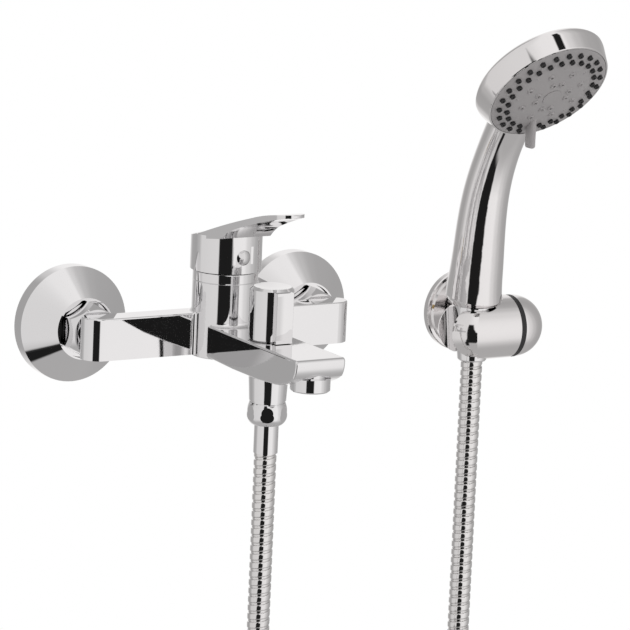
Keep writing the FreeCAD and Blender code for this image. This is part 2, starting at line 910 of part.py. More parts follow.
def hose_washer_mixer():
    return tube(outlet_thread_r - gap, hose_bore_r, V(0, diverter_y, outlet_thread_end), DOWN, washer_thickness)


def hose_ferrule_mixer():
    start = V(0, diverter_y, hose_washer_end)
    flange = rod(ferrule_flange_r, start, DOWN, ferrule_flange)
    neck = rod(ferrule_r, start, DOWN, hose_washer_end - ferrule_end)
    return flange.fuse(neck).removeSplitter().cut(rod(hose_bore_r, start, DOWN, 60))


def cone_radius(z):
    return cone_bottom_r + (cone_top_r - cone_bottom_r) * (z - cone_bottom) / (cone_top - cone_bottom)


shower_ferrule_top = inlet_end - washer_thickness


def hose_nut_shower():
    centre = V(shower_x, socket_y, 0)
    profile = [
        (ferrule_r + slip, cone_bottom),
        (cone_bottom_r - 0.5, cone_bottom),
        (cone_radius(cone_bottom + 0.8), cone_bottom + 0.8),
        (cone_top_r, cone_top),
        (outlet_thread_r + slip, cone_top),
        (outlet_thread_r + slip, cone_top - cone_thread_length),
        (ferrule_r + slip, cone_top - cone_thread_length),
    ]
    return turned(profile, centre, Z)


def hose_washer_shower():
    place = V(shower_x, socket_y, inlet_end)
    return tube(outlet_thread_r - gap, hose_bore_r, place, DOWN, washer_thickness)


def hose_ferrule_shower():
    start = V(shower_x, socket_y, shower_ferrule_top)
    flange = rod(ferrule_flange_r, start, DOWN, ferrule_flange)
    neck = rod(ferrule_r, start, DOWN, shower_ferrule_top - cone_bottom)
    return flange.fuse(neck).removeSplitter().cut(rod(hose_bore_r, start, DOWN, 60))


def unit(vector):
    return vector * (1 / vector.Length)


def corner_arc(before, corner, after):
    """The arc that rounds a corner of the route, as large as its shorter run allows, and its radius."""
    a = before - corner
    b = after - corner
    half_turn = (math.pi - a.getAngle(b)) / 2
    reach = 0.45 * min(a.Length, b.Length)
    radius = reach / math.tan(half_turn)
    start = corner + unit(a) * reach
    end = corner + unit(b) * reach
    inward = unit(unit(a) + unit(b))
    middle = corner + inward * (radius / math.cos(half_turn) - radius)
    return start, middle, end, radius


def rounded_route(points):
    """Straight runs joined by tangent arcs."""
    edges = []
    radii = []
    last = points[0]
    for k in range(1, len(points) - 1):
        start, middle, end, radius = corner_arc(points[k - 1], points[k], points[k + 1])
        edges.append(Part.LineSegment(last, start).toShape())
        edges.append(Part.Arc(start, middle, end).toShape())
        radii.append(round(radius, 1))
        last = end
    edges.append(Part.LineSegment(last, points[-1]).toShape())
    return edges, radii


def circle_at(point, direction, radius):
    """A circle across the route whose first point lies on a steady X axis."""
    normal = unit(direction)
    side = unit(X - normal * X.dot(normal))
    circle = Part.Circle(point, normal, radius)
    circle.Axis = normal
    circle.XAxis = side
    return Part.Wire(circle.toShape())


def ribbed_hose(points, name):
    edges, radii = rounded_route(points)
    path = Part.Wire(edges)
    length = path.Length
    plain = 2 * hose_r
    count = int((length - 2 * plain) / rib_pitch)
    slack = (length - count * rib_pitch) / 2
    marks = [(0.0, hose_r), (slack - 0.8, hose_r)]
    for k in range(count):
        start = slack + k * rib_pitch
        marks += [
            (start, hose_groove_r),
            (start + rib_pitch - rib_crest - 0.9, hose_groove_r),
            (start + rib_pitch - rib_crest, hose_r),
            (start + rib_pitch - 0.9, hose_r),
        ]
    marks += [(length - slack, hose_groove_r), (length - slack + 0.8, hose_r), (length, hose_r)]
    ends = []
    done = 0.0
    for edge in edges:
        ends.append((done, done + edge.Length, edge))
        done += edge.Length
    wires = []
    for distance, radius in marks:
        for start, end, edge in ends:
            if distance <= end + 1e-9 or end == ends[-1][1]:
                inside = min(max(distance - start, 0.0), edge.Length)
                at = edge.getParameterByLength(inside)
                wires.append(circle_at(edge.valueAt(at), edge.tangentAt(at), radius))
                break
    outer = Part.makeLoft(wires, True, True)
    bore = path.makePipeShell([circle_at(points[0], points[1] - points[0], hose_bore_r)], True, False)
    print(name, "length", round(length, 1), "ribs", count, "bend radii", radii)
    return outer.cut(bore), length


def biarc(p0, t0, p1, t1):
    """Two arcs from p0 to p1, tangent to t0 and t1."""
    chord = p1 - p0
    total = t0 + t1
    a = 2 * (t0.dot(t1) - 1)
    b = -2 * chord.dot(total)
    c = chord.dot(chord)
    if abs(a) < 1e-9:
        reach = -c / b
    else:
        reach = (-b - math.sqrt(b * b - 4 * a * c)) / (2 * a)
    q0 = p0 + t0 * reach
    q1 = p1 - t1 * reach
    middle = (q0 + q1) * 0.5
    arcs = []
    for start, knee, end in ((p0, q0, middle), (middle, q1, p1)):
        half = (end - start).Length / 2
        centre = (start + end) * 0.5
        rise = unit(knee - centre)
        lean = (knee - start).getAngle(end - start)
        arcs.append(Part.Arc(start, centre + rise * (half * math.tan(lean / 2)), end).toShape())
    return arcs


def coil_point(angle):
    """A point of the coil's centre line and its direction, at an angle in degrees from +X."""
    a = math.radians(angle)
    first = 180 + coil_slant_deg
    last = first + 360 * coil_turns + 180 - 2 * coil_slant_deg
    middle = (first + last) / 2
    y = coil_y + coil_pitch * (angle - middle) / 360
    point = V(coil_x + coil_r * math.cos(a), y, coil_height + coil_r * math.sin(a))
    rise = coil_pitch / 360 / math.radians(1)
    direction = unit(V(-coil_r * math.sin(a), rise, coil_r * math.cos(a)))
    return point, direction


coil_y = (diverter_y + socket_y) / 2
coil_first = 180 + coil_slant_deg
coil_last = coil_first + 360 * coil_turns + 180 - 2 * coil_slant_deg


def hose_coil():
    """The put-away length, as one unbroken tube wound side by side."""
    steps = int(round((coil_last - coil_first) / 90))
    angles = [coil_first + (coil_last - coil_first) * k / steps for k in range(steps + 1)]
    first, first_way = coil_point(angles[0])
    last, last_way = coil_point(angles[-1])
    edges = [Part.LineSegment(first - first_way * hose_stub, first).toShape()]
    for k in range(steps):
        edges += biarc(*coil_point(angles[k]), *coil_point(angles[k + 1]))
    edges.append(Part.LineSegment(last, last + last_way * hose_stub).toShape())
    path = Part.Wire(edges)
    start = first - first_way * hose_stub
    outer = path.makePipeShell([circle_at(start, first_way, hose_r)], True, False)
    bore = path.makePipeShell([circle_at(start, first_way, hose_bore_r)], True, False)
    points = path.discretize(Distance=4.0)
    least = min(
        points[i].distanceToPoint(points[j])
        for i in range(len(points))
        for j in range(i + 12, len(points))
    )
    print("coil length", round(path.Length, 1), "least gap to itself", round(least - 2 * hose_r, 2))
    return outer.cut(bore), path.Length


def mixer_route():
    """From the ferrule under the mixer down and across to the coil."""
    point, way = coil_point(coil_first)
    end = point - way * hose_stub
    turn = end - way * (end.x / way.x)
    return [V(0, diverter_y, ferrule_end), V(0, diverter_y, mixer_bend_height), turn, end]


def shower_route():
    """From the cone nut under the hand shower down and across to the coil."""
    point, way = coil_point(coil_last)
    end = point + way * hose_stub
    turn = end + way * ((shower_x - end.x) / way.x)
    return [V(shower_x, socket_y, cone_bottom), V(shower_x, socket_y, shower_bend_height), turn, end]


def coil_ties():
    """Two bands round the strands, at the top and at the bottom of the coil."""
    ties = []
    for angle, strands in ((90, 2), (270, 3)):
        passes = [coil_first + k for k in range(int(coil_last - coil_first)) if (coil_first + k) % 360 == angle]
        low = coil_point(passes[0])[0]
        high = coil_point(passes[-1])[0]
        inner = hose_r + gap
        outer = inner + tie_thickness

        def slab(radius):
            box = block((low.x - tie_width / 2, low.x + tie_width / 2), (low.y, high.y),
                        (low.z - radius, low.z + radius))
            ends = [rod(radius, V(low.x - tie_width / 2, p.y, p.z), X, tie_width) for p in (low, high)]
            return joined([box] + ends)

        ties.append(slab(outer).cut(slab(inner)))
    return Part.makeCompound(ties)


# Hand shower

face_angle = math.radians(face_down_deg)
face_out = V(0, -math.cos(face_angle), -math.sin(face_angle))
face_centre = V(shower_x, face_y, face_z)
face_low = V(0, math.sin(face_angle), -math.cos(face_angle))

# Stations of the handle: height, distance from the wall, half width, half depth, lean in degrees
handle_stations = [
    (handle_bottom, -47.2, 17.8, 16.5, 0),
    (25.0, -48.2, 16.6, 15.4, 3),
    (50.0, -50.4, 15.4, 14.3, 7),
    (74.0, -54.3, 14.35, 13.3, 13),
    (95.0, -61.5, 13.5, 12.5, 23),
    (112.0, -69.8, 13.4, 12.3, 29),
    (127.0, -79.2, 14.6, 12.0, 35),
    (139.0, -88.3, 16.0, 11.0, 40),
]


def ellipse_wire(station, inset):
    height, y, half_width, half_depth, lean = station
    centre = V(shower_x, y, height)
    a = math.radians(lean)
    normal = V(0, -math.sin(a), math.cos(a))
    ellipse = Part.Ellipse(V(0, 0, 0), half_width - inset, half_depth - inset)
    edge = ellipse.toShape()
    edge.Placement = FreeCAD.Placement(centre, FreeCAD.Rotation(X, normal.cross(X), normal, "ZXY"))
    return Part.Wire(edge)


def handle_loft(inset, stations):
    return Part.makeLoft([ellipse_wire(s, inset) for s in stations], True, False)


def in_socket(shape):
    """The hand shower stands a little turned about the socket's axis."""
    return shape.rotated(V(shower_x, socket_y, 0), Z, shower_turn_deg)


def head_turned(profile):
    """Points are (radius, distance behind the face)."""
    return turned(profile, face_centre, face_out * -1)


def head_outer():
    profile = [
        (0, 0),
        (head_lip_r - 0.3, 0),
        (head_lip_r, 0.4),
        ((head_lip_r + head_flare * 0.56, head_side * 0.5), (head_lip_r + head_flare, head_side - 1.2)),
        ((head_r - 0.1, head_side + 0.2), (head_r, head_side + 1.4)),
        ((head_r - 1.0, head_side + 3.0), (head_r - 3.6, head_side + 4.3)),
        (crown((head_r - 3.6, head_side + 4.3), head_depth), (0, head_depth)),
    ]
    return head_turned(profile)


def head_inner():
    corner = (head_r - 3.6 - shell_wall, head_side + 4.3 - shell_wall)
    profile = [
        (0, -1),
        (face_r + gap, -1),
        (face_r + gap, head_side + 1.0),
        corner,
        (crown(corner, head_depth - shell_wall), (0, head_depth - shell_wall)),
    ]
    return head_turned(profile)


def foot_trim():
    """What the handle's conical foot leaves away."""
    profile = [
        (handle_foot_r, handle_bottom - 1),
        (handle_foot_r, handle_bottom),
        (handle_foot_r + 3.0, handle_bottom + 3.4),
        (handle_foot_r + 4.3, handle_bottom + 6.2),
        (handle_foot_r + 12, handle_bottom + 6.2),
        (handle_foot_r + 12, handle_bottom - 1),
    ]
    return turned(profile, V(shower_x, socket_y, 0), Z)


def shower_shell():
    outer = handle_loft(0, handle_stations)
    inner_stations = [(handle_bottom + handle_floor,) + handle_stations[0][1:]] + handle_stations[1:]
    inner = handle_loft(shell_wall, inner_stations)
    solid = outer.fuse(head_outer())
    solid = solid.cut(inner).cut(head_inner())
    hole = rod(outlet_thread_r + slip, V(shower_x, socket_y, handle_bottom - 1), Z, handle_floor + 2)
    return solid.cut([hole, foot_trim()])


def shower_waterway():
    """Threaded inlet, flange on the handle's floor, and the tube up to the spray body."""
    floor_top = handle_bottom + handle_floor
    inlet = rod(outlet_thread_r, V(shower_x, socket_y, inlet_end), Z, floor_top - inlet_end + inlet_flange)
    flange = rod(inlet_flange_r, V(shower_x, socket_y, floor_top + face_gap), Z, inlet_flange)
    end = face_centre - face_out * (spray_body_back - face_gap) + face_low * 12
    route = [
        V(shower_x, socket_y, floor_top),
        V(shower_x, socket_y, 58.0),
        V(shower_x, -69.5, 110.0),
        end,
    ]
    edges, radii = rounded_route(route)
    path = Part.Wire(edges)
    outer = path.makePipeShell([circle_at(route[0], Z, waterway_r)], True, False)
    bore = path.makePipeShell([circle_at(route[0], Z, waterway_bore_r)], True, False)
    trim = head_turned([(0, -5), (60, -5), (60, spray_body_back + face_gap), (0, spray_body_back + face_gap)])
    solid = joined([inlet, flange, outer]).cut(bore)
    return solid.cut(rod(waterway_bore_r, V(shower_x, socket_y, inlet_end), Z, 20)).cut(trim)


def spray_body():
    profile = [
        (0, spray_body_front),
        (spray_body_r, spray_body_front),
        (spray_body_r, spray_body_back - 1.5),
        (spray_body_r - 1.5, spray_body_back),
        (0, spray_body_back),
    ]
    solid = head_turned(profile)
    recess = head_turned([(0, spray_body_front), (spray_body_r - 3, spray_body_front),
                          (spray_body_r - 3, spray_body_front + 2), (0, spray_body_front + 2)])
    post = head_turned([(0, spray_body_front), (4.5, spray_body_front), (4.5, spray_body_back), (0, spray_body_back)])
    screw = head_turned([(0, 0), (face_screw_r, 0), (face_screw_r, spray_body_back - 1), (0, spray_body_back - 1)])
    inlet = rod(waterway_bore_r, face_centre + face_low * 12 - face_out * 30, face_out, 30)
    return solid.cut(recess).fuse(post).removeSplitter().cut([screw, inlet])


def spray_seal():
    middle = (spray_body_front + spray_body_back) / 2 - 0.8
    inner = spray_body_r + face_gap
    outer = face_r + gap - face_gap
    return head_turned([(inner, middle), (outer, middle), (outer, middle + 1.6), (inner, middle + 1.6)])


def nozzle_places():
    """Radius and angle of each nozzle: two staggered outer rows, a middle ring and pairs round the centre."""
    step = 360 / outer_nozzles
    pair = 720 / centre_nozzles
    tab_angle = 90
    outer = [(outer_circle_r, outer_phase_deg + k * step) for k in range(outer_nozzles)]
    inner = [(inner_circle_r, outer_phase_deg - (k + 0.5) * step) for k in range(outer_nozzles)]
    inner = [spot for spot in inner if abs((spot[1] - tab_angle + 180) % 360 - 180) > step / 2]
    middle = [(middle_circle_r, middle_phase_deg + k * 360 / middle_nozzles) for k in range(middle_nozzles)]
    centre = [
        (centre_circle_r, centre_phase_deg + (k // 2) * pair + (k % 2) * centre_pair_deg)
        for k in range(centre_nozzles)
    ]
    return [outer, inner, middle, centre]


def face_point(radius, angle):
    a = math.radians(angle)
    return face_centre + X * (radius * math.cos(a)) + face_low * (radius * math.sin(a))


def face_level(radius, behind=0.0):
    """Distance behind the rim's plane of a surface that lies behind the domed front by the given distance."""
    ball_r = (face_r ** 2 + face_crown ** 2) / (2 * face_crown)
    return behind + ball_r - face_crown - math.sqrt(ball_r ** 2 - radius ** 2)


def face_arc(start, end, behind):
    """An outline's arc along the dome from one radius to another."""
    middle = (start + end) / 2
    return ((middle, face_level(middle, behind)), (end, face_level(end, behind)))


def face_rod(radius, spot, front, back):
    """A rod through the face at a spot, from a distance behind its front to a larger one."""
    level = face_level(spot[0])
    return rod(radius, face_point(*spot) - face_out * (level + front), face_out * -1, back - front)


def face_tab():
    """The fin that turns the face, standing out of the dome and down past the rim."""
    back = face_y + tab_back
    fin = block((shower_x - tab_width / 2, shower_x + tab_width / 2), (back - tab_thickness, back),
                (tab_bottom, face_z - tab_root_drop))
    fin = fin.makeFillet(tab_edge, [e for e in fin.Edges if e.CenterOfMass.z < face_z - tab_root_drop - 0.1])
    root = face_thickness / 2
    behind = head_turned([(0, face_level(0, root)), face_arc(0, face_r, root), (60, root), (60, 60), (0, 60)])
    return fin.cut(behind)


def face_plate():
    back = face_thickness
    profile = [
        (0, face_level(0)),
        face_arc(0, face_r, 0),
        (face_r, back),
        face_arc(face_r, 0, back),
    ]
    solid = head_turned(profile).fuse(face_tab()).removeSplitter()
    rows = nozzle_places()
    cuts = []
    for row in rows[:2]:
        cuts += [face_rod(nozzle_r + slip, spot, -1, back + 1) for spot in row]
    for row in rows[2:]:
        cuts += [face_rod(0.7, spot, -1, back + 1) for spot in row]
    centre = (0, 0)
    cuts.append(face_rod(centre_disc_r + slip, centre, -1, 1.0))
    cuts.append(face_rod(face_screw_r + slip, centre, -1, back + 1))
    return solid.cut(cuts)


def nozzle_sheet():
    """Rubber sheet behind the face with a nozzle through each outer hole."""
    hub = centre_circle_r + 1.5
    edge = face_r - gap
    front = face_thickness + face_gap
    back = front + nozzle_mat
    profile = [
        (hub, face_level(hub, front)),
        face_arc(hub, edge, front),
        (edge, face_level(edge, back)),
        face_arc(edge, hub, back),
    ]
    shapes = []
    cuts = []
    rows = nozzle_places()
    for row in rows[:2]:
        for spot in row:
            shapes.append(face_rod(nozzle_r, spot, -nozzle_reach, front + 0.6))
            cuts.append(face_rod(0.6, spot, -nozzle_reach - 1, back + 1))
    cuts += [face_rod(0.9, spot, 0, back + 1) for spot in rows[2]]
    return head_turned(profile).fuse(shapes).removeSplitter().cut(cuts)


def centre_disc():
    return face_rod(centre_disc_r, (0, 0), -0.2, 1.0 - face_gap)


def face_screw():
    """Holds the face to the spray body's post."""
    level = face_level(0)
    length = spray_body_back - 1.5 - level - 1.0
    return rod(face_screw_r - face_gap, face_centre - face_out * (level + 1.0), face_out * -1, length)


# Wall holder

holder_centre = V(shower_x, socket_y, holder_height)
socket_bottom_r = cone_radius(cradle_bottom) + socket_clearance
socket_top_r = cone_radius(cradle_top) + socket_clearance


def jaw_point(height):
    """Point on the jaws' rounded outline, which is lower than it is wide."""
    offset = (height - holder_height) / cradle_half_height
    return (cradle_r * math.sqrt(1 - offset ** 2), height)


def jaws():
    """The sleeve's end round the socket, turned off on the socket's axis."""
    middle = holder_height
    profile = [
        (0, cradle_bottom),
        jaw_point(cradle_bottom),
        (jaw_point(middle - 8.8), (cradle_r, middle)),
        (jaw_point(middle + 6.8), jaw_point(cradle_top)),
        (0, cradle_top),
    ]
    whole = rod(sleeve_r, V(shower_x - cradle_r - 1, socket_y, holder_height), X, 2 * cradle_r)
    return turned(profile, V(shower_x, socket_y, 0), Z).common(whole)


def cradle():
    """Slotted cone for the hose nut, with a bowl for the handle's foot and a sleeve along the hinge."""
    sleeve = rod(sleeve_r, V(sleeve_start, socket_y, holder_height), X, sleeve_end - sleeve_start)
    spigot_start = V(sleeve_end - 1, socket_y, holder_height)
    spigot = rod(hinge_spigot_r, spigot_start, X, hinge_spigot_end - sleeve_end + 1)
    bowl = turned(
        [(0, cradle_top), (cradle_pocket_r, cradle_top), (cradle_pocket_r + 0.9, cradle_top + 3.0),
         (cradle_pocket_r + 2.5, cradle_top + 5.3), (cradle_pocket_r + 4.6, cradle_top + 6.9),
         (cradle_pocket_r + 5.2, cradle_top + 30), (0, cradle_top + 30)],
        V(shower_x, socket_y, 0), Z)
    solid = joined([jaws(), sleeve, spigot])
    socket = turned(
        [(0, cradle_bottom - 4), (socket_bottom_r, cradle_bottom - 4), (socket_bottom_r, cradle_bottom),
         (socket_top_r, cradle_top), (socket_top_r + 1.0, cradle_top + 30), (0, cradle_top + 30)],
        V(shower_x, socket_y, 0), Z)
    half = slot_width / 2
    slot = block((shower_x - 40, shower_x), (socket_y - half, socket_y + half), (cradle_bottom - 10, cradle_top + 20))
    screw = rod(pivot_screw_r + hinge_clearance, holder_centre, X, 60)
    head = rod(pivot_screw_head_r + hinge_clearance, holder_centre, X, screw_head_x + pivot_screw_head - shower_x)
    return solid.cut([bowl, socket, slot, screw, head])


screw_head_x = shower_x + cone_radius(holder_height) + socket_clearance + 1.0


def pivot_screw():
    start = V(screw_head_x, socket_y, holder_height)
    head = rod(pivot_screw_head_r, start, X, pivot_screw_head - hinge_clearance)
    shank = rod(pivot_screw_r, start, X, pivot_screw_end - screw_head_x)
    return head.fuse(shank).removeSplitter().cut(hexagon(4.0, start, X, 1.8))


def friction_ring():
    start = V(sleeve_end + hinge_clearance, socket_y, holder_height)
    return tube(sleeve_r - 0.2, ring_bore_r, start, X, ring_width)


def holder_arm():
    """The domed end in line with the cradle, on an arm from the wall."""
    centre = V(dome_start, socket_y, holder_height)
    dome = turned([
        (0, 0),
        (dome_r, 0),
        (dome_r, dome_straight),
        ((dome_r * math.sqrt(0.5), dome_straight + dome_r * math.sqrt(0.5)), (0, dome_straight + dome_r)),
    ], centre, X)
    foot_start = V(arm_x, arm_foot_y, holder_height)
    foot = rod(arm_foot_r, foot_start, OUT, arm_foot_y - socket_y)
    clear = block((arm_x - 40, dome_start), (socket_y - 40, socket_y + sleeve_r + 1.2), (-60, 40))
    socket = rod(hinge_spigot_r + hinge_clearance, centre, X, hinge_spigot_end + hinge_clearance - dome_start)
    screw = rod(pivot_screw_r + slip, centre, X, pivot_screw_end - dome_start + 0.5)
    spigot_hole = rod(base_spigot_r + slip, foot_start, OUT, arm_foot_y - base_spigot_end + 0.5)
    grub = rod(arm_screw_r + slip, V(arm_x, -10.5, holder_height), DOWN, 20)
    return joined([dome, foot.cut(clear)]).cut([socket, screw, spigot_hole, grub])


def arm_screw():
    start = V(arm_x, -10.5, holder_height - base_spigot_r)
    screw = rod(arm_screw_r, start, DOWN, arm_foot_r - base_spigot_r - 0.4)
    return screw.cut(hexagon(2.0, start + DOWN * 1.6, DOWN, 4))


def holder_base():
    centre = V(plate_x, 0, plate_height)
    disc = rod(base_r, centre, OUT, base_thickness)
    spigot = rod(base_spigot_r, V(arm_x, -base_thickness + 1, holder_height), OUT, -base_spigot_end - base_thickness + 1)
    half = base_hole_spacing / 2
    holes = [
        rod(base_hole_r, V(base_hole_x, 1, plate_height + side * half), OUT, base_thickness + 2)
        for side in (-1, 1)
    ]
    return disc.fuse(spigot).removeSplitter().cut(holes)


def holder_cover():
    rim = plate_thickness - plate_step
    profile = [
        (base_r + slip, 0),
        (plate_r, 0),
        (plate_r, rim - 0.6),
        (plate_r - 0.6, rim),
        (plate_step_r, rim),
        (plate_step_r - 0.8, plate_thickness),
        (0, plate_thickness),
        (0, plate_thickness - plate_wall),
        (base_r + slip, plate_thickness - plate_wall - 0.6),
    ]
    solid = turned(profile, V(plate_x, 0, plate_height), OUT)
    hole = rod(base_spigot_r + slip, V(arm_x, 0, holder_height), OUT, 20)
    return solid.cut(hole)


def main():
    os.makedirs("parts", exist_ok=True)
    for side, name in ((-1, "left"), (1, "right")):
        x = side * inlet_spacing / 2
        save(f"wall_connector_{name}", wall_connector(x))
        save(f"escutcheon_{name}", escutcheon(x))
        save(f"union_nut_{name}", union_nut(x))
        save(f"union_tail_{name}", union_tail(x))
        save(f"inlet_washer_{name}", inlet_washer(x))
    save("mixer_body", mixer_body())
    save("cartridge_base", cartridge_base_plate())
    save("port_seals", port_seals())
    save("ceramic_disc_fixed", fixed_ceramic_disc())
    save("ceramic_disc_moving", moving_ceramic_disc())
    save("disc_carrier", disc_carrier())
    save("cartridge_housing", cartridge_housing())
    save("cartridge_rotor", cartridge_rotor())
    save("rotor_pivot_pin", rotor_pivot_pin())
    save("lever_stem", lever_stem())
    save("cartridge_nut", cartridge_nut())
    save("dome_ring", dome_ring())
    save("lever_handle", lever_handle())
    save("lever_screw", lever_screw())
    save("indicator_plug", indicator_plug())
    save("diverter_gland", diverter_gland())
    save("diverter_spindle", diverter_spindle())
    save("diverter_valve", diverter_valve())
    save("diverter_seat_seal", diverter_seat_seal())
    save("diverter_knob", diverter_knob())
    save("diverter_screw", diverter_screw())
    save("aerator_housing", aerator_housing())
    save("aerator_insert", aerator_insert())
    save("aerator_washer", aerator_washer())
    save("hose_nut_mixer", hose_nut_mixer())
    save("hose_washer_mixer", hose_washer_mixer())
    save("hose_ferrule_mixer", hose_ferrule_mixer())
    mixer_run, mixer_length = ribbed_hose(mixer_route(), "hose under the mixer")
    save("hose_run_mixer", mixer_run)
    coil, coil_length = hose_coil()
    save("hose_coil", coil)
    shower_run, shower_length = ribbed_hose(shower_route(), "hose under the hand shower")
    save("hose_run_shower", shower_run)
    print("hose length in all", round(mixer_length + coil_length + shower_length, 1))
    save("coil_ties", coil_ties())
    save("hose_nut_shower", hose_nut_shower())
    save("hose_washer_shower", hose_washer_shower())
    save("hose_ferrule_shower", hose_ferrule_shower())
    save("shower_shell", in_socket(shower_shell()))
    save("shower_waterway", in_socket(shower_waterway()))
    save("spray_body", in_socket(spray_body()))
    save("spray_seal", in_socket(spray_seal()))
    save("face_plate", in_socket(face_plate()))
    save("nozzle_sheet", in_socket(nozzle_sheet()))
    save("centre_disc", in_socket(centre_disc()))
    save("face_screw", in_socket(face_screw()))
    save("cradle", cradle())
    save("pivot_screw", pivot_screw())
    save("friction_ring", friction_ring())
    save("holder_arm", holder_arm())
    save("arm_screw", arm_screw())
    save("holder_base", holder_base())
    save("holder_cover", holder_cover())


main()
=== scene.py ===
"""Bath mixer with a hand shower on a ribbed hose, standing in its wall holder.

Places are in metres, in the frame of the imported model: +Z up, +Y into the wall, +X to the right.
"""
import json
import math

import bpy
from mathutils import Matrix, Vector


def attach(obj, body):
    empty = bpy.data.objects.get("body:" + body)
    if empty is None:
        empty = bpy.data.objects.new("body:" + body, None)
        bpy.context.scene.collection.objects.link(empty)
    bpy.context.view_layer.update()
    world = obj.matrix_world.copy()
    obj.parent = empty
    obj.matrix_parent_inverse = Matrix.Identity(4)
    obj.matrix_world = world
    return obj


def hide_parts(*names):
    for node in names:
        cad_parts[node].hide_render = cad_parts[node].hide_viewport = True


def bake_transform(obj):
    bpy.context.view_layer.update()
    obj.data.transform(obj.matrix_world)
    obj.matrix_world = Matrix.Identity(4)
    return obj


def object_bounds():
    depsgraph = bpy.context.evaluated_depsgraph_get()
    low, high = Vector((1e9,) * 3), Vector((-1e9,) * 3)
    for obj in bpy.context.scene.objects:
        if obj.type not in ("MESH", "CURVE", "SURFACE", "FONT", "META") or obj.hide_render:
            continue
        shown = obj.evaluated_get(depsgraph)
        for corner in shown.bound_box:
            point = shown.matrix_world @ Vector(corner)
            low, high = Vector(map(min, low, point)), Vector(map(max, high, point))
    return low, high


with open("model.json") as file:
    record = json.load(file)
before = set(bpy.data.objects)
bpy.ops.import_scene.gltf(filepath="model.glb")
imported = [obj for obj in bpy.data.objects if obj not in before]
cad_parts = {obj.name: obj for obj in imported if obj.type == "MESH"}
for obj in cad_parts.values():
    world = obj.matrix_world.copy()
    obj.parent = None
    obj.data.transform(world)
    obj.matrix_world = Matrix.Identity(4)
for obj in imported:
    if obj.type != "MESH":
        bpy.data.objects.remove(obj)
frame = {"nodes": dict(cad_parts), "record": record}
cad_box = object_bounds()
nodes = frame["nodes"]

# Camera, fitted to the photograph
camera_place = (-1.2779, -2.2950, 0.5312)
camera_yaw_deg = 30.8765
camera_pitch_deg = 11.3878
camera_roll_deg = 2.5149
camera_lens_mm = 257.14

# Hose
hose_pitch = 0.0051
hose_segments = 24
crease_deg = 50
diverter_y = -0.1087
ferrule_end = -0.0608
mixer_bend = -0.202
mixer_straight = 0.059
mixer_lean = (-0.0981, -0.2600)
shower_x = 0.1778
socket_y = -0.048
cone_end = -0.031
shower_bend = -0.228
shower_straight = 0.029
shower_lean = (-0.0585, -0.2550)
coil_x = 0.088
coil_y = (diverter_y + socket_y) / 2
coil_z = -0.300
coil_r = 0.069
coil_pitch = 0.0146
coil_slant_deg = 20
coil_turns = 2
coil_step_deg = 28.7
lower_stretch_top = -0.250
upper_stretch_start = -0.118

# Face of the hand shower: its middle, how far it looks down, and its dome
face_y = -0.1089
face_z = 0.1425
face_down_deg = 40.2
shower_turn_deg = 4.8
face_r = 0.0375
face_crown = 0.0046
# Rings of small nozzles: radius of the ring, and the angle of each nozzle
nozzle_rings = [
    (0.0192, [16.4 + 45 * k for k in range(8)]),
    (0.0110, [-23 + 90 * k + turn for k in range(4) for turn in (0, 31)]),
]
# Section of the low cone round a small nozzle: distance from its middle, height over the face
nozzle_section = [
    (0.00225, -0.0003),
    (0.00205, 0.0002),
    (0.00155, 0.0009),
    (0.00130, 0.0010),
    (0.00095, 0.0009),
    (0.00075, 0.0004),
    (0.00075, -0.0003),
]
# Shallow marks between the nozzles
mark_ring = 0.0238
mark_angles = [38.9 + 45 * k for k in range(8)]
mark_section = [
    (0.0009, -0.0002),
    (0.0008, 0.0001),
    (0.0005, 0.00025),
    (0.0002, 0.00025),
    (0.0002, -0.0002),
]
rim_segments = 28


# Materials


def new_material(name):
    material = bpy.data.materials.new(name)
    material.use_nodes = True
    return material, material.node_tree, material.node_tree.nodes["Principled BSDF"]


def add_noise(tree, scale, detail=3.0, stretch=(1, 1, 1)):
    """Noise in the object's own coordinates, so it stays put on the surface."""
    coords = tree.nodes.new("ShaderNodeTexCoord")
    mapping = tree.nodes.new("ShaderNodeMapping")
    mapping.inputs["Scale"].default_value = stretch
    noise = tree.nodes.new("ShaderNodeTexNoise")
    noise.inputs["Scale"].default_value = scale
    noise.inputs["Detail"].default_value = detail
    tree.links.new(coords.outputs["Object"], mapping.inputs["Vector"])
    tree.links.new(mapping.outputs["Vector"], noise.inputs["Vector"])
    return noise


def vary(tree, source, low, high, target):
    """A value that wanders between two limits with a noise."""
    spread = tree.nodes.new("ShaderNodeMapRange")
    spread.inputs["From Min"].default_value = 0.3
    spread.inputs["From Max"].default_value = 0.7
    spread.inputs["To Min"].default_value = low
    spread.inputs["To Max"].default_value = high
    tree.links.new(source.outputs[0], spread.inputs["Value"])
    tree.links.new(spread.outputs["Result"], target)


def tint(tree, source, first, second, target):
    """A colour between two others, after a noise."""
    mix = tree.nodes.new("ShaderNodeMix")
    mix.data_type = "RGBA"
    mix.inputs["A"].default_value = (*first, 1)
    mix.inputs["B"].default_value = (*second, 1)
    tree.links.new(source.outputs[0], mix.inputs["Factor"])
    tree.links.new(mix.outputs["Result"], target)


def bump(tree, shader, source, height, strength=1.0):
    """Relief of a height in metres."""
    node = tree.nodes.new("ShaderNodeBump")
    node.inputs["Strength"].default_value = strength
    node.inputs["Distance"].default_value = height
    tree.links.new(source.outputs[0], node.inputs["Height"])
    tree.links.new(node.outputs["Normal"], shader.inputs["Normal"])


